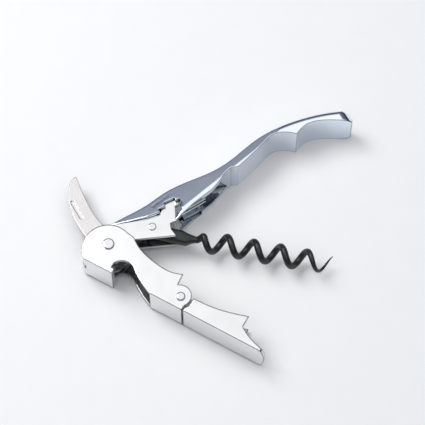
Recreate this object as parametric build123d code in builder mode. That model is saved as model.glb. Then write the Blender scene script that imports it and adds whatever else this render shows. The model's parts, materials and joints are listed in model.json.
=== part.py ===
"""Double-lever waiter's corkscrew, opened, lying on its side.

Frame: +Z up, the mechanism plane is horizontal, z = 0 is the surface the corkscrew lies on, and the
origin is the middle of the footprint. Every part is drawn in the plane of the link it belongs to:
HANDLE, LEVER, WORM and BLADE, whose local x runs out along the link from its pivot.
"""

from build123d import *
from math import cos, radians, sin
import os

os.makedirs("parts", exist_ok=True)

# --- driving dimensions, mm ---
handle_width = 14.6
lever_width = 12.8
lever_sheet = 1.15
cheek_span = 9.0
cheek_thickness = 1.2
head_rivet_x = -39.28
head_rivet_y = -7.05

handle_angle = 30.0
lever_angle = -30.0
worm_angle = -11.5
blade_angle = 113.0

worm_pin_x = 18.5
worm_pin_y = -0.9
hinge_u = 35.0
hinge_v = -5.3
web_v = -9.9

head_rivet_radius = 1.7
worm_pin_radius = 1.0
hinge_rivet_radius = 1.3
spring_pin_radius = 0.9
spring_pin_x = 42.0
spring_pin_y = 4.9
running_fit = 0.05

worm_length = 70.0
worm_outer_radius = 4.6
worm_wire_radius = 1.3
worm_pitch = 10.4
coil_start = 20.4
worm_root_half_thickness = 2.2
worm_eye_half_width = 3.2
blade_thickness = 1.4
crown_radius = 3.0
# where the belly's rim starts, how it rises along the handle, and the slope from it to the spine
rim_point = (33.0, -0.5)
rim_rise = 0.215
side_slope = 0.227
spring_pin_half = 5.7
leaf_half = 3.2
leaf_thickness = 0.7
toe_reach = 2.4
slot_width = 2.2

# --- derived sizes ---
mid_height = handle_width / 2
lever_half = lever_width / 2
lever_inner = lever_half - lever_sheet
cheek_half = cheek_span / 2
cheek_inner = cheek_half - cheek_thickness
channel_half = 4.95
ear_outer = lever_inner - 0.2
ear_thickness = 1.05
hinge = (hinge_u, hinge_v)
worm_pin_at = (worm_pin_x, worm_pin_y)
spring_pin_at = (spring_pin_x, spring_pin_y)
coil_radius = worm_outer_radius - worm_wire_radius


def link_plane(origin, angle):
    """The mid-plane of a link: x along the link, y towards the spine side, z up."""
    along = (cos(radians(angle)), sin(radians(angle)), 0)
    return Plane(origin=origin, x_dir=along, z_dir=(0, 0, 1))


HANDLE = link_plane((head_rivet_x, head_rivet_y, mid_height), handle_angle)
LEVER = link_plane((head_rivet_x, head_rivet_y, mid_height), lever_angle)
BLADE = link_plane((head_rivet_x, head_rivet_y, mid_height), blade_angle)
worm_pin_centre = HANDLE.from_local_coords((worm_pin_x, worm_pin_y, 0))
WORM = link_plane(tuple(worm_pin_centre), worm_angle)


# --- handle casting: crowned spine, finger grip, open channel at the front ---
def casting_outline():
    """Side view of the handle, from its front spike along the spine to the tip and back."""
    spine = [
        (0.0, 7.9), (12.7, 8.1), (20.4, 8.2), (30.0, 9.5), (40.9, 9.1), (51.7, 8.5), (59.0, 9.4),
        (69.5, 11.8), (79.3, 12.9), (88.2, 12.3), (103.4, 8.6), (113.0, 4.2),
    ]
    Spline(*spine)
    Line((113.0, 4.2), (113.0, -2.0))
    Spline((113.0, -2.0), (103.1, 3.3), (98.5, 5.8), (93.3, 7.1), (89.8, 6.5), (87.1, 5.2))
    Spline((87.1, 5.2), (84.7, 7.4), (81.6, 9.2), (78.0, 9.7), (73.2, 8.2), (68.0, 6.5), (63.7, 5.2),
           (59.6, 4.1))
    Polyline((59.6, 4.1), (57.0, 5.2), (53.7, 4.3), (50.0, 2.2), (46.2, 0.6), (36.8, -1.2),
             (32.0, -2.6), (25.8, -4.6), (31.7, -0.8), (31.5, 5.2), (27.4, 5.4), (27.0, 3.2),
             (23.5, 2.5), (18.9, 3.2), (18.9, 0.0), (0.0, 0.0), (0.0, 7.9))


with BuildPart() as handle_casting:
    with BuildSketch(HANDLE.offset(-mid_height)):
        with BuildLine():
            casting_outline()
        make_face()
    extrude(amount=handle_width)
    # crowned spine: the long spine edges on both sides are rounded deeply
    spine_edges = handle_casting.edges().filter_by(GeomType.BSPLINE).sort_by(SortBy.LENGTH)[-2:]
    fillet(spine_edges, radius=crown_radius)
    # both sides slope away from the belly's rim towards the spine, widest at the front
    for side in (1, -1):
        slope_normal = (HANDLE.y_dir - HANDLE.x_dir * rim_rise) * side_slope + Vector(0, 0, side)
        slope_point = HANDLE.from_local_coords((*rim_point, side * mid_height))
        with BuildSketch(Plane(origin=slope_point, z_dir=slope_normal)):
            Rectangle(250, 250)
        extrude(amount=handle_width, mode=Mode.SUBTRACT)
    # the front is a spike over the cheeks, and the tip falls away in a curve
    with BuildSketch(HANDLE):
        with BuildLine():
            Polyline((-1.0, -1.0), (-1.0, 11.0), (3.0, 11.0), (3.0, 8.4), (12.0, 5.3), (18.9, 3.2),
                     (18.9, -1.0), (-1.0, -1.0))
        make_face()
        with BuildLine():
            ThreePointArc((101.0, 9.7), (107.8, 5.8), (110.9, 1.8))
            Polyline((110.9, 1.8), (109.2, 0.0), (108.0, -4.0), (115.0, -4.0), (115.0, 14.0),
                     (101.0, 14.0), (101.0, 9.7))
        make_face()
    extrude(amount=handle_width, both=True, mode=Mode.SUBTRACT)
    # the front narrows towards the head, so that the lever's head fits over it
    # and the tip is rounded across its width
    with BuildSketch(Plane(origin=HANDLE.origin, x_dir=HANDLE.x_dir, z_dir=-HANDLE.y_dir)):
        for side in (1, -1):
            with BuildLine():
                Spline((0, side * 5.0), (12, side * 5.05), (24, side * 6.6), (34, side * 7.35),
                       tangents=[(1, 0), (1, 0)])
                Polyline((34, side * 7.35), (34, side * 9), (0, side * 9), (0, side * 5.0))
            make_face()
            with BuildLine():
                ThreePointArc((105.0, side * 7.35), (109.2, side * 5.6), (110.9, side * 1.5))
                Polyline((110.9, side * 1.5), (113, side * 1.5), (113, side * 9), (105, side * 9),
                         (105.0, side * 7.35))
            make_face()
    extrude(amount=20, both=True, mode=Mode.SUBTRACT)
    # open channel on the belly side
    with BuildSketch(HANDLE.offset(-channel_half)):
        with BuildLine():
            Polyline((22.5, -12), (22.5, 6.6), (30, 7.6), (37, 7.0), (44, 6.2), (51, 6.1), (59, 3.4),
                     (61, -12), (22.5, -12))
        make_face()
    extrude(amount=2 * channel_half, mode=Mode.SUBTRACT)
    # the wall is thinned beside the closed lever's notch and knuckle
    with BuildSketch(HANDLE.offset(-lever_half - 0.25)):
        with BuildLine():
            Polyline((24, -12), (24, 3.9), (33, 3.9), (33, 0.4), (40.5, 0.4), (40.5, -12), (24, -12))
        make_face()
    extrude(amount=lever_width + 0.5, mode=Mode.SUBTRACT)
    # blade slot through the spine
    with BuildSketch(HANDLE.offset(-slot_width / 2)):
        with Locations((16.5, 8)):
            SlotOverall(37, 14)
    extrude(amount=slot_width, mode=Mode.SUBTRACT)
    # blind socket for the spring pin in both walls
    with BuildSketch(HANDLE.offset(-spring_pin_half)):
        with Locations(spring_pin_at):
            Circle(spring_pin_radius)
    extrude(amount=2 * spring_pin_half, mode=Mode.SUBTRACT)
handle_casting.part.label = "handle_casting"
export_step(handle_casting.part, "parts/handle_casting.step")


# --- cheeks: two flat plates that carry the rivets, with tongues inside the casting ---
def cheek(low):
    """One cheek plate with its lower face at height low above the mid-plane."""
    with BuildPart() as plate:
        with BuildSketch(HANDLE.offset(low)):
            with BuildLine():
                Polyline((2.5, 7.2), (3.4, 8.3), (12.0, 5.2), (18.9, 3.1), (23.5, 2.4), (24.5, 3.0),
                         (27.6, 6.2), (44.6, 6.1), (44.6, 3.4), (30.5, 2.6), (27.7, -3.0), (25.2, -3.0),
                         (24.3, -5.3), (24.6, -8.6), (10.3, -2.4), (5.0, -5.6))
                ThreePointArc((5.0, -5.6), (-7.2, -1.0), (2.5, 7.2))
            make_face()
        extrude(amount=cheek_thickness)
        with BuildSketch(HANDLE.offset(low)):
            Circle(head_rivet_radius)
            with Locations(worm_pin_at):
                Circle(worm_pin_radius)
            with Locations(spring_pin_at):
                Circle(spring_pin_radius)
        extrude(amount=cheek_thickness, mode=Mode.SUBTRACT)
    return plate.part


for name, low in (("near_cheek", cheek_inner), ("far_cheek", -cheek_half)):
    plate = cheek(low)
    plate.label = name
    export_step(plate, f"parts/{name}.step")


# --- back spring: a leaf that bears on the worm's eye, held by a pin at its rear end ---
with BuildPart() as back_spring:
    with BuildSketch(HANDLE.offset(-leaf_half)):
        with BuildLine() as leaf:
            Spline((17.0, 1.7), (21.0, 1.75), (26.0, 2.0), (32.0, 2.8), (37.0, 4.2), (41.0, 4.9))
        trace(leaf.line, line_width=leaf_thickness)
        with Locations(spring_pin_at):
            Circle(1.25)
            Circle(spring_pin_radius, mode=Mode.SUBTRACT)
    extrude(amount=2 * leaf_half)
back_spring.part.label = "back_spring"
export_step(back_spring.part, "parts/back_spring.step")

with BuildPart() as spring_pin:
    with BuildSketch(HANDLE.offset(-spring_pin_half)):
        with Locations(spring_pin_at):
            Circle(spring_pin_radius)
    extrude(amount=2 * spring_pin_half)
spring_pin.part.label = "spring_pin"
export_step(spring_pin.part, "parts/spring_pin.step")


# --- rivets ---
def rivet(plane, at, shank_radius, head_radius, head_low, head_high):
    """A through rivet with a domed head on each side; heads run from head_low to head_high."""
    with BuildPart() as body:
        with BuildSketch(plane.offset(-head_low)):
            with Locations(at):
                Circle(shank_radius)
        extrude(amount=2 * head_low)
        for low, high in ((head_low, head_high), (-head_high, -head_low)):
            with BuildSketch(plane.offset(low)):
                with Locations(at):
                    Circle(head_radius)
            extrude(amount=high - low)
        rims = body.edges().filter_by(GeomType.CIRCLE).group_by(Axis.Z)
        fillet(rims[0] + rims[-1], radius=0.7 * (head_high - head_low))
    return body.part


head_rivet = rivet(HANDLE, (0, 0), head_rivet_radius, 2.3, lever_half + running_fit, mid_height)
head_rivet.label = "head_rivet"
export_step(head_rivet, "parts/head_rivet.step")

worm_pin = rivet(HANDLE, worm_pin_at, worm_pin_radius, 1.6, cheek_half, cheek_half + 0.5)
worm_pin.label = "worm_pin"
export_step(worm_pin, "parts/worm_pin.step")

hinge_rivet = rivet(LEVER, hinge, hinge_rivet_radius, 1.8, lever_half, mid_height)
hinge_rivet.label = "lever_hinge_rivet"
export_step(hinge_rivet, "parts/lever_hinge_rivet.step")

# --- spacers that keep the blade in the middle of the head ---
with BuildPart() as blade_spacers:
    for low in (-cheek_inner, blade_thickness / 2 + running_fit):
        with BuildSketch(HANDLE.offset(low)):
            Circle(3.0)
            Circle(head_rivet_radius + running_fit, mode=Mode.SUBTRACT)
        extrude(amount=cheek_inner - blade_thickness / 2 - running_fit)
blade_spacers.part.label = "blade_spacers"
export_step(blade_spacers.part, "parts/blade_spacers.step")

# --- foil blade: hooked, with a nail nick near its back ---
with BuildPart() as blade:
    with BuildSketch(BLADE.offset(-blade_thickness / 2)):
        with BuildLine():
            Spline((-1.5, 3.3), (3.0, 4.4), (8.0, 5.7), (14.8, 7.0), (20.3, 7.2), (25.9, 6.5),
                   (30.2, 5.2), (33.7, 3.0), (35.4, 0.2))
            Line((35.4, 0.2), (34.9, -0.1))
            Spline((34.9, -0.1), (30.3, 0.1), (24.4, 0.1), (18.3, -0.3), (15.1, -0.8), (10.5, -2.2),
                   (6.0, -3.4))
            Line((6.0, -3.4), (1.2, -3.4))
            ThreePointArc((1.2, -3.4), (-3.6, -0.1), (-1.5, 3.3))
        make_face()
    extrude(amount=blade_thickness)
    with BuildSketch(BLADE.offset(-blade_thickness / 2)):
        Circle(head_rivet_radius + running_fit)
    extrude(amount=blade_thickness, mode=Mode.SUBTRACT)
    with BuildSketch(BLADE.offset(blade_thickness / 2 - 0.4)):
        with Locations(Location((21.5, 5.0), 6)):
            SlotOverall(9.0, 1.3)
    extrude(amount=0.4, mode=Mode.SUBTRACT)
blade.part.label = "blade"
export_step(blade.part, "parts/blade.step")

# --- worm: eye and flat root, then a coiled wire ---
coil_plane = Plane(origin=WORM.from_local_coords((coil_start, 0, 0)), x_dir=(0, 0, 1),
                   z_dir=WORM.x_dir)
coil = coil_plane * Helix(worm_pitch, worm_length - coil_start, coil_radius)
neck_start = WORM.from_local_coords((15.0, 0, 0))
with BuildPart() as worm:
    with BuildSketch(WORM.offset(-worm_root_half_thickness)):
        with BuildLine():
            Polyline((0, 2.0), (11.0, 2.6), (17.6, 1.1), (17.6, -1.1), (13.8, -2.9), (8.0, -2.6),
                     (0, -2.0), (0, 2.0))
        make_face()
        Circle(2.0)
    extrude(amount=2 * worm_root_half_thickness)
    with BuildSketch(WORM.offset(-worm_eye_half_width)):
        Circle(2.0)
    extrude(amount=2 * worm_eye_half_width)
    with BuildSketch(WORM.offset(-worm_eye_half_width)):
        Circle(worm_pin_radius + running_fit)
    extrude(amount=2 * worm_eye_half_width, mode=Mode.SUBTRACT)
    with BuildSketch(Plane(origin=coil @ 0, z_dir=coil % 0)):
        Circle(worm_wire_radius)
    sweep(path=coil, is_frenet=True)
    # the wire leaves the middle of the root and swings out to the coil
    with BuildLine() as neck:
        Spline(neck_start, coil @ 0, tangents=(WORM.x_dir, coil % 0))
    with BuildSketch(Plane(origin=neck.line @ 0, z_dir=neck.line % 0)):
        Circle(worm_wire_radius)
    sweep(path=neck.line)
worm.part.label = "worm"
export_step(worm.part, "parts/worm.step")


# --- first lever: head with cap-lifter mouth, first notch and hinge knuckle ---
def head_end():
    """The rounded end of the lever's head, from the lip round to the spine side."""
    ThreePointArc((-5.0, web_v), (-7.4, -7.4), (-8.7, -4.0))
    ThreePointArc((-8.7, -4.0), (-5.2, 6.6), (3.6, 7.9))


with BuildPart() as first_lever:
    for low in (lever_inner, -lever_half):
        with BuildSketch(LEVER.offset(low)):
            with BuildLine():
                head_end()
                Line((3.6, 7.9), (6.9, 7.4))
                Spline((6.9, 7.4), (11.8, 4.3), (18.9, 2.3), (24.5, 1.7), (31.0, 3.3))
                Polyline((31.0, 3.3), (31.5, -1.6))
                ThreePointArc((31.5, -1.6), (38.9, -4.6), (38.0, -7.8))
                Polyline((38.0, -7.8), (38.0, web_v), (24.0, web_v))
                Spline((24.0, web_v), (17.5, -6.7), (14.3, -4.6))
                ThreePointArc((14.3, -4.6), (9.9, -2.8), (6.0, -5.6))
                Polyline((6.0, -5.6), (6.0, web_v), (-5.0, web_v))
            make_face()
        extrude(amount=lever_sheet)
    # back web: behind the notches, and round the head as the cap-lifter's lip
    with BuildSketch(LEVER.offset(-lever_half)):
        with Locations((31.0, web_v + lever_sheet / 2)):
            Rectangle(14.0, lever_sheet)
        with BuildLine():
            ThreePointArc((-5.0, web_v), (-7.4, -7.4), (-8.7, -4.0))
            Polyline((-8.7, -4.0), (-7.55, -4.0))
            ThreePointArc((-7.55, -4.0), (-6.4, -6.9), (-4.6, web_v + lever_sheet))
            Polyline((-4.6, web_v + lever_sheet), (5.4, web_v + lever_sheet), (6.4, web_v + 2.4),
                     (7.4, web_v + 2.0), (7.6, web_v), (-5.0, web_v))
        make_face()
    extrude(amount=lever_width)
    # slot in the head's end, for the blade's swing
    with BuildSketch(LEVER.offset(-slot_width / 2)):
        with BuildLine():
            Polyline((-6.0, 0), (-4.4, -8.2), (-4.4, -11), (-12, -11), (-12, 0), (-6.0, 0))
        make_face()
    extrude(amount=slot_width, mode=Mode.SUBTRACT)
    with BuildSketch(LEVER.offset(-lever_half)):
        Circle(head_rivet_radius + running_fit)
        with Locations(hinge):
            Circle(hinge_rivet_radius)
    extrude(amount=lever_width, mode=Mode.SUBTRACT)
first_lever.part.label = "first_lever"
export_step(first_lever.part, "parts/first_lever.step")

# --- second lever: second notch and toe, with ears inside the first lever's knuckle ---
with BuildPart() as second_lever:
    for low in (lever_inner, -lever_half):
        with BuildSketch(LEVER.offset(low)):
            with BuildLine():
                Spline((39.6, -3.4), (44.0, -3.3), (49.5, -2.7), (56.0, -1.2), (61.2, 0.4))
                Polyline((61.2, 0.4), (61.2, -4.3))
                Spline((61.2, -4.3), (64.5, -6.3), (71.0, -8.5))
                Polyline((71.0, -8.5), (71.0, web_v), (38.6, web_v), (38.6, -8.4), (39.6, -7.0),
                         (39.6, -3.4))
            make_face()
        extrude(amount=lever_sheet)
    with BuildSketch(LEVER.offset(-lever_half)):
        with Locations((54.8, web_v + lever_sheet / 2)):
            Rectangle(32.4, lever_sheet)
    extrude(amount=lever_width)
    # rounded toe of the web
    toe_plane = Plane(origin=LEVER.from_local_coords((71.0, web_v, 0)), x_dir=LEVER.x_dir,
                      z_dir=LEVER.y_dir)
    with BuildSketch(toe_plane):
        Ellipse(toe_reach, lever_half)
    extrude(amount=lever_sheet)
    # ears with the joggle that carries them
    for low in (ear_outer - ear_thickness, -ear_outer):
        with BuildSketch(LEVER.offset(low)):
            with Locations(hinge):
                Circle(3.3)
            with BuildLine():
                Polyline((35.0, -8.6), (43.5, -8.6), (43.5, -5.6), (35.0, -2.6), (35.0, -8.6))
            make_face()
        extrude(amount=ear_thickness)
    for low in (ear_outer - ear_thickness, -lever_inner):
        with BuildSketch(LEVER.offset(low)):
            with BuildLine():
                Polyline((40.4, -8.8), (43.5, -8.8), (43.5, -5.6), (40.4, -5.2), (40.4, -8.8))
            make_face()
        extrude(amount=lever_inner - ear_outer + ear_thickness)
    with BuildSketch(LEVER.offset(-lever_half)):
        with Locations(hinge):
            Circle(hinge_rivet_radius + running_fit)
    extrude(amount=lever_width, mode=Mode.SUBTRACT)
second_lever.part.label = "second_lever"
export_step(second_lever.part, "parts/second_lever.step")
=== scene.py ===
import json
import math

import bmesh
import bpy
from mathutils import Matrix, Vector


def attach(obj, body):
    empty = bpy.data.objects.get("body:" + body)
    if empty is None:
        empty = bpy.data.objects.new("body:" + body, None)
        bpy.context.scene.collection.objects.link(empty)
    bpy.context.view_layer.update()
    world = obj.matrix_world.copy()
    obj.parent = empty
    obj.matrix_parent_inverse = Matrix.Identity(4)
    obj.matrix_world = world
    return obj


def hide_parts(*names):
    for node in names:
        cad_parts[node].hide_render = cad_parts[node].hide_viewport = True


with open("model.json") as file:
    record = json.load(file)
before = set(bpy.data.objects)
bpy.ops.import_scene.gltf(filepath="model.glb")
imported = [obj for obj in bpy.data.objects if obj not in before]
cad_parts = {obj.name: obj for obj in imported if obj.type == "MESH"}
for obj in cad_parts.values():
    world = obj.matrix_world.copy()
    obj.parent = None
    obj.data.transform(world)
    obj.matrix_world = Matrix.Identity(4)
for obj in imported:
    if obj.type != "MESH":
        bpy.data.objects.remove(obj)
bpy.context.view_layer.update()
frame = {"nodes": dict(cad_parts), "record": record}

MM = 0.001
JOINTS = {joint["name"]: joint for joint in frame["record"]["behaviour"]["joints"]}
HEAD = Vector(JOINTS["lever_fold"]["pos_m"])
WORM_PIN = Vector(JOINTS["worm_fold"]["pos_m"])

# which way each piece runs at rest, in the mechanism plane, from +X
HANDLE_ANGLE = math.radians(30.0)
LEVER_ANGLE = math.radians(-30.0)
WORM_ANGLE = math.radians(-11.5)
BLADE_ANGLE = math.radians(113.0)


# --- shader helpers: each adds nodes and gives back the socket to use ---
def remap(nodes, links, value, source, target=(0.0, 1.0)):
    """Maps a value from one range to another and holds it at the ends."""
    out = nodes.new("ShaderNodeMapRange")
    out.inputs["From Min"].default_value = source[0]
    out.inputs["From Max"].default_value = source[1]
    out.inputs["To Min"].default_value = target[0]
    out.inputs["To Max"].default_value = target[1]
    links.new(value, out.inputs["Value"])
    return out.outputs["Result"]


def colour_ramp(nodes, links, value, stops):
    """Turns a value into a colour; stops are (position, colour), in rising order."""
    ramp = nodes.new("ShaderNodeValToRGB")
    elements = ramp.color_ramp.elements
    for element, (position, colour) in zip(elements, (stops[0], stops[-1])):
        element.position = position
        element.color = (*colour, 1.0)
    for position, colour in stops[1:-1]:
        elements.new(position).color = (*colour, 1.0)
    links.new(value, ramp.inputs["Fac"])
    return ramp.outputs["Color"]


def grain(nodes, links, scale, stretch, turn, detail=4.0):
    """Noise fixed to the piece; scale is features per metre, a stretch under 1 draws it out."""
    place = nodes.new("ShaderNodeTexCoord")
    mapping = nodes.new("ShaderNodeMapping")
    mapping.inputs["Rotation"].default_value = (0.0, 0.0, -turn)
    mapping.inputs["Scale"].default_value = stretch
    noise = nodes.new("ShaderNodeTexNoise")
    noise.inputs["Scale"].default_value = scale
    noise.inputs["Detail"].default_value = detail
    links.new(place.outputs["Object"], mapping.inputs["Vector"])
    links.new(mapping.outputs["Vector"], noise.inputs["Vector"])
    return noise.outputs["Fac"]


def bump(nodes, links, height, distance, normal=None):
    """Raises the surface by noise, through a distance in metres."""
    out = nodes.new("ShaderNodeBump")
    out.inputs["Strength"].default_value = 1.0
    out.inputs["Distance"].default_value = distance
    links.new(height, out.inputs["Height"])
    if normal is not None:
        links.new(normal, out.inputs["Normal"])
    return out.outputs["Normal"]


def darken(nodes, links, colour, measure, source, shade):
    """Scales a colour by shade at the source range's low end and leaves it alone at the high."""
    out = nodes.new("ShaderNodeVectorMath")
    out.operation = "SCALE"
    links.new(colour, out.inputs[0])
    links.new(remap(nodes, links, measure, source, (shade, 1.0)), out.inputs["Scale"])
    return out.outputs["Vector"]


# --- finishes, with painted shade at edges and in hollows ---
NOISE_RANGE = (0.3, 0.7)  # where most of the noise lies
SHADE_SAMPLES = 8
EDGE_RANGE = (0.86, 0.992)  # how well the rounded and the true normal agree, as a dot product
HOLLOW_RANGE = (0.45, 0.96)  # the share of the sky that the piece's own walls leave open
HOLLOW_SHADE = 0.07
EVEN = (1, 1, 1)  # a stretch that draws nothing out


def rounded_normal(nodes, radius):
    """The normal as if edges were rounded to a radius in mm."""
    bevel = nodes.new("ShaderNodeBevel")
    bevel.samples = SHADE_SAMPLES
    bevel.inputs["Radius"].default_value = radius * MM
    return bevel.outputs["Normal"]


def edge_painted_shade(nodes, links, rounded, colour, shade):
    """Paints shade into a colour, darker where the surface turns over an edge."""
    geometry = nodes.new("ShaderNodeNewGeometry")
    match = nodes.new("ShaderNodeVectorMath")
    match.operation = "DOT_PRODUCT"
    links.new(rounded, match.inputs[0])
    links.new(geometry.outputs["Normal"], match.inputs[1])
    return darken(nodes, links, colour, match.outputs["Value"], EDGE_RANGE, shade)


def hollow_shade(nodes, links, colour, reach):
    """Paints shade into a colour where the piece's own walls close over it, within a reach in
    mm.
    """
    open_sky = nodes.new("ShaderNodeAmbientOcclusion")
    open_sky.samples = SHADE_SAMPLES
    open_sky.only_local = True
    open_sky.inputs["Distance"].default_value = reach * MM
    return darken(nodes, links, colour, open_sky.outputs["AO"], HOLLOW_RANGE, HOLLOW_SHADE)


def surface(name, dark, light, metallic, roughness, grain_scale, stretch=EVEN, turn=0.0,
            wave_scale=120.0, wave_height=0.0, grain_height=0.0, rounding=0.0, edge_shade=1.0,
            hollow=0.0):
    """A procedural finish: a wandering tone, a directional grain, a slow unevenness, and painted
    shade at edges and in hollows. Roughness is a range; heights are in metres, rounding and
    hollow in mm."""
    material = bpy.data.materials.new(name)
    material.use_nodes = True
    nodes = material.node_tree.nodes
    links = material.node_tree.links
    shader = nodes["Principled BSDF"]
    shader.inputs["Metallic"].default_value = metallic
    fine = grain(nodes, links, grain_scale, stretch, turn)
    slow = grain(nodes, links, wave_scale, EVEN, turn, detail=1.0)
    links.new(remap(nodes, links, fine, NOISE_RANGE, roughness), shader.inputs["Roughness"])
    colour = colour_ramp(nodes, links, slow, [(NOISE_RANGE[0], dark), (NOISE_RANGE[1], light)])
    rounded = None
    if rounding:
        rounded = rounded_normal(nodes, rounding)
        # painted shade along the edges
        colour = edge_painted_shade(nodes, links, rounded, colour, edge_shade)
    if hollow:
        # painted shade in the hollows
        colour = hollow_shade(nodes, links, colour, hollow)
    links.new(colour, shader.inputs["Base Color"])
    wave = bump(nodes, links, slow, wave_height, rounded)
    links.new(bump(nodes, links, fine, grain_height, wave), shader.inputs["Normal"])
    return material


CHROME = surface(
    "polished_chrome", dark=(0.78, 0.86, 0.96), light=(0.84, 0.91, 1.0), metallic=1.0,
    roughness=(0.05, 0.09), grain_scale=900.0, wave_scale=70.0, wave_height=0.00004,
    rounding=0.8, edge_shade=0.22, hollow=9.0)
LEVER_STEEL = surface(
    "satin_lever", dark=(0.76, 0.77, 0.78), light=(0.82, 0.82, 0.83), metallic=1.0,
    roughness=(0.17, 0.22), grain_scale=4200.0, stretch=(0.2, 1, 1), turn=LEVER_ANGLE,
    grain_height=0.0000005, rounding=0.75, edge_shade=0.06, hollow=14.0)
CHEEK_STEEL = surface(
    "satin_cheek", dark=(0.75, 0.76, 0.77), light=(0.81, 0.81, 0.82), metallic=1.0,
    roughness=(0.16, 0.21), grain_scale=4200.0, stretch=(0.2, 1, 1), turn=HANDLE_ANGLE,
    grain_height=0.0000005, rounding=0.35, edge_shade=0.15)
BLADE_STEEL = surface(
    "ground_blade", dark=(0.51, 0.50, 0.50), light=(0.55, 0.54, 0.54), metallic=1.0,
    roughness=(0.25, 0.29), grain_scale=1500.0, stretch=(1, 0.15, 1), turn=BLADE_ANGLE,
    rounding=0.35, edge_shade=0.20)
RIVET_STEEL = surface(
    "polished_rivet", dark=(0.74, 0.75, 0.77), light=(0.80, 0.80, 0.82), metallic=1.0,
    roughness=(0.10, 0.16), grain_scale=1500.0, grain_height=0.0000005, rounding=0.7,
    edge_shade=0.35)
SPRING_STEEL = surface(
    "spring_steel", dark=(0.38, 0.39, 0.42), light=(0.48, 0.49, 0.52), metallic=1.0,
    roughness=(0.30, 0.42), grain_scale=1200.0, grain_height=0.000002)
COATING = surface(
    "black_coating", dark=(0.007, 0.009, 0.009), light=(0.014, 0.017, 0.016), metallic=0.0,
    roughness=(0.34, 0.46), grain_scale=2600.0, wave_scale=500.0, wave_height=0.00004,
    grain_height=0.000012)

FINISHES = {
    "handle_casting": CHROME, "near_cheek": CHEEK_STEEL, "far_cheek": CHEEK_STEEL,
    "first_lever": LEVER_STEEL, "second_lever": LEVER_STEEL, "blade": BLADE_STEEL,
    "head_rivet": RIVET_STEEL, "worm_pin": RIVET_STEEL, "lever_hinge_rivet": RIVET_STEEL,
    "blade_spacers": RIVET_STEEL, "back_spring": SPRING_STEEL, "spring_pin": SPRING_STEEL,
}
for node, material in FINISHES.items():
    for slot in frame["nodes"][node].material_slots:
        slot.material = material

# the larger pieces' sharp edges are eased by a width in mm, so that they catch the light
EASED = {"first_lever": 0.32, "second_lever": 0.36, "near_cheek": 0.2, "far_cheek": 0.2,
         "handle_casting": 0.3}
SHARP_ANGLE = math.radians(40)
for node, width in EASED.items():
    bevel = frame["nodes"][node].modifiers.new("eased_edges", "BEVEL")
    bevel.width = width * MM
    bevel.segments = 2
    bevel.limit_method = "ANGLE"
    bevel.angle_limit = SHARP_ANGLE
    bevel.harden_normals = True


# --- worm: rounded root, neck and a coil ground to a point, in mm, along +X from its pin ---
# each root ring: place on X, half size along Y, half size along Z, centre's Y, squareness
ROOT_RINGS = [
    (-2.0, 0.7, 2.9, 0.0, 2.6), (-1.5, 1.4, 3.0, 0.0, 2.8), (0.0, 2.0, 3.1, 0.0, 3.0),
    (2.4, 2.1, 2.3, 0.0, 4.0), (8.0, 2.5, 2.1, 0.0, 5.0), (11.0, 2.65, 2.1, -0.1, 5.0),
    (13.6, 2.2, 2.0, -0.55, 4.5), (15.6, 1.55, 1.6, -0.1, 3.0), (17.0, 1.3, 1.3, 0.0, 2.0),
]
ROOT_END = ROOT_RINGS[-1][0]
ROUND = 2.0  # a circle's squareness
WIRE_RADIUS = 1.3
COIL_START = 20.4
COIL_RADIUS = 3.3
PITCH = 10.4
WORM_END = 70.0
POINT_LENGTH = 11.0
TIP_SHARE = 0.06  # the wire's radius at its very end, as a share of the full radius
POINT_POWER = 0.75  # under 1, so the point's sides bulge
NECK_LEAVING = Vector((6.0, 0.6, 0))  # the neck curve's direction and pull at the root
NECK_ARRIVING = 5.0  # its pull at the coil, along the coil's own slope
NECK_STEPS = 12
COIL_STEPS = 240
RING_POINTS = 28


def coil_point(x):
    """A point of the coil's centre line, x mm from the pin."""
    turn = 2 * math.pi * (x - COIL_START) / PITCH
    return Vector((x, -COIL_RADIUS * math.sin(turn), COIL_RADIUS * math.cos(turn)))


def neck_point(t):
    """The wire's way from the root's end to the coil, t from 0 to 1, as a cubic curve."""
    start = Vector((ROOT_END, 0, 0))
    end = coil_point(COIL_START)
    arriving = Vector((PITCH / (2 * math.pi), -COIL_RADIUS, 0)).normalized() * NECK_ARRIVING
    root_share = 2 * t**3 - 3 * t**2 + 1
    leaving_share = t**3 - 2 * t**2 + t
    arriving_share = t**3 - t**2
    return (root_share * start + leaving_share * NECK_LEAVING + (1 - root_share) * end
            + arriving_share * arriving)


def worm_rings():
    """Centre, half size along Y, half size along Z and squareness of each ring of the worm."""
    for x, tall, thick, middle, square in ROOT_RINGS:
        yield Vector((x, middle, 0)), tall, thick, square
    for step in range(1, NECK_STEPS + 1):
        yield neck_point(step / NECK_STEPS), WIRE_RADIUS, WIRE_RADIUS, ROUND
    for step in range(1, COIL_STEPS + 1):
        x = COIL_START + (WORM_END - COIL_START) * step / COIL_STEPS
        left = (WORM_END - x) / POINT_LENGTH
        radius = WIRE_RADIUS * min(1.0, TIP_SHARE + (1 - TIP_SHARE) * left**POINT_POWER)
        yield coil_point(x), radius, radius, ROUND


def ring_point(centre, across, up, tall, thick, square, angle):
    """A point of a ring's outline, which runs from a circle to a rounded box by squareness."""
    c = math.cos(angle)
    s = math.sin(angle)
    reach = (abs(c) ** square + abs(s) ** square) ** (-1 / square)
    return (centre + across * c * reach * tall + up * s * reach * thick) * MM


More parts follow.
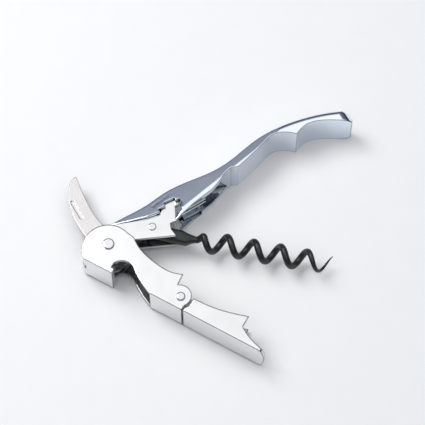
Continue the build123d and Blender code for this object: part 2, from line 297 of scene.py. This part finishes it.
def build_worm():
    """Skins the rings, and puts the worm in the place of the plain one."""
    rings = list(worm_rings())
    mesh = bmesh.new()
    skin = []
    across = Vector((0, 1, 0))
    angles = [2 * math.pi * k / RING_POINTS for k in range(RING_POINTS)]
    for n, (centre, tall, thick, square) in enumerate(rings):
        before = rings[max(n - 1, 0)][0]
        after = rings[min(n + 1, len(rings) - 1)][0]
        along = (after - before).normalized() if n >= len(ROOT_RINGS) else Vector((1, 0, 0))
        across = (across - along * across.dot(along)).normalized()
        up = along.cross(across)
        skin.append([mesh.verts.new(ring_point(centre, across, up, tall, thick, square, angle))
                     for angle in angles])
    for first, second in zip(skin, skin[1:]):
        for k in range(RING_POINTS):
            m = (k + 1) % RING_POINTS
            mesh.faces.new((first[k], first[m], second[m], second[k]))
    mesh.faces.new(skin[0][::-1])
    mesh.faces.new(skin[-1])
    bmesh.ops.recalc_face_normals(mesh, faces=mesh.faces)
    mesh.transform(Matrix.Translation(WORM_PIN) @ Matrix.Rotation(WORM_ANGLE, 4, "Z"))
    data = bpy.data.meshes.new("coated_worm")
    mesh.to_mesh(data)
    mesh.free()
    data.polygons.foreach_set("use_smooth", [True] * len(data.polygons))
    worm = bpy.data.objects.new("coated_worm", data)
    bpy.context.scene.collection.objects.link(worm)
    worm.data.materials.append(COATING)
    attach(worm, "screw")
    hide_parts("worm")


# --- floor, surroundings, light and camera, in metres and watts ---
FLOOR_RADIUS = 0.42

# the surroundings' colour by height, from 0 straight down to 1 straight up
BELOW = [(0.0, (0.35, 0.37, 0.45)), (0.44, (0.30, 0.32, 0.40))]
FRONT = BELOW + [
    (0.48, (0.015, 0.015, 0.02)), (0.70, (0.03, 0.03, 0.04)), (0.80, (0.28, 0.29, 0.35)),
    (0.88, (1.0, 1.0, 1.0))]
REAR = BELOW + [
    (0.49, (0.015, 0.015, 0.02)), (0.57, (0.03, 0.03, 0.04)), (0.70, (0.12, 0.125, 0.16)),
    (0.80, (0.17, 0.18, 0.23)), (0.89, (1.0, 1.0, 1.0))]
FRONT_TO_REAR = (-0.1, 0.1)  # the Y over which one gives way to the other
WORLD_STRENGTH = 1.08

KEY_PLACE = Vector((-0.42, 0.28, 0.70))
KEY_SIZE = 0.5
KEY_POWER = 3.7

CAMERA_TARGET = HEAD + Vector((39.6, 14.4, 5.0)) * MM
CAMERA_ELEVATION = math.radians(62)
CAMERA_DISTANCE = 0.75
VIEW_WIDTH = 0.1635  # what the picture spans at the target


def build_floor():
    """A pale round floor, in the pictures only."""
    data = bpy.data.meshes.new("floor")
    mesh = bmesh.new()
    bmesh.ops.create_circle(mesh, cap_ends=True, segments=96, radius=FLOOR_RADIUS)
    mesh.to_mesh(data)
    mesh.free()
    floor = bpy.data.objects.new("floor", data)
    bpy.context.scene.collection.objects.link(floor)
    data.materials.append(surface(
        "pale_floor", dark=(0.872, 0.875, 0.885), light=(0.882, 0.884, 0.892), metallic=0.0,
        roughness=(0.55, 0.65), grain_scale=300.0))


def build_world():
    """A studio: white overhead, dim lavender under that, dark at the horizon, lavender below."""
    world = bpy.data.worlds.new("studio")
    world.use_nodes = True
    bpy.context.scene.world = world
    nodes = world.node_tree.nodes
    links = world.node_tree.links
    place = nodes.new("ShaderNodeTexCoord")
    split = nodes.new("ShaderNodeSeparateXYZ")
    links.new(place.outputs["Generated"], split.inputs["Vector"])
    height = remap(nodes, links, split.outputs["Z"], (-1.0, 1.0))
    both = nodes.new("ShaderNodeMixRGB")
    links.new(remap(nodes, links, split.outputs["Y"], FRONT_TO_REAR), both.inputs["Fac"])
    links.new(colour_ramp(nodes, links, height, FRONT), both.inputs["Color1"])
    links.new(colour_ramp(nodes, links, height, REAR), both.inputs["Color2"])
    links.new(both.outputs["Color"], nodes["Background"].inputs["Color"])
    nodes["Background"].inputs["Strength"].default_value = WORLD_STRENGTH


def build_key_light():
    """A round light, high up behind the part and to its left, turned to the origin."""
    light = bpy.data.lights.new("key", "AREA")
    light.shape = "DISK"
    light.size = KEY_SIZE
    light.energy = KEY_POWER
    lamp = bpy.data.objects.new("key", light)
    lamp.location = KEY_PLACE
    lamp.rotation_euler = (-KEY_PLACE).to_track_quat("-Z", "Y").to_euler()
    bpy.context.scene.collection.objects.link(lamp)


def build_camera():
    """Looks down on the mechanism plane from the belly side of the handle."""
    camera = bpy.data.cameras.new("camera")
    camera.lens = camera.sensor_width * CAMERA_DISTANCE / VIEW_WIDTH
    back = Vector((0, -math.cos(CAMERA_ELEVATION), math.sin(CAMERA_ELEVATION)))
    view = bpy.data.objects.new("camera", camera)
    view.location = CAMERA_TARGET + CAMERA_DISTANCE * back
    view.rotation_euler = (math.pi / 2 - CAMERA_ELEVATION, 0, 0)
    bpy.context.scene.collection.objects.link(view)
    bpy.context.scene.camera = view


build_worm()
build_floor()
build_world()
build_key_light()
build_camera()
bpy.context.scene.view_settings.view_transform = "Standard"
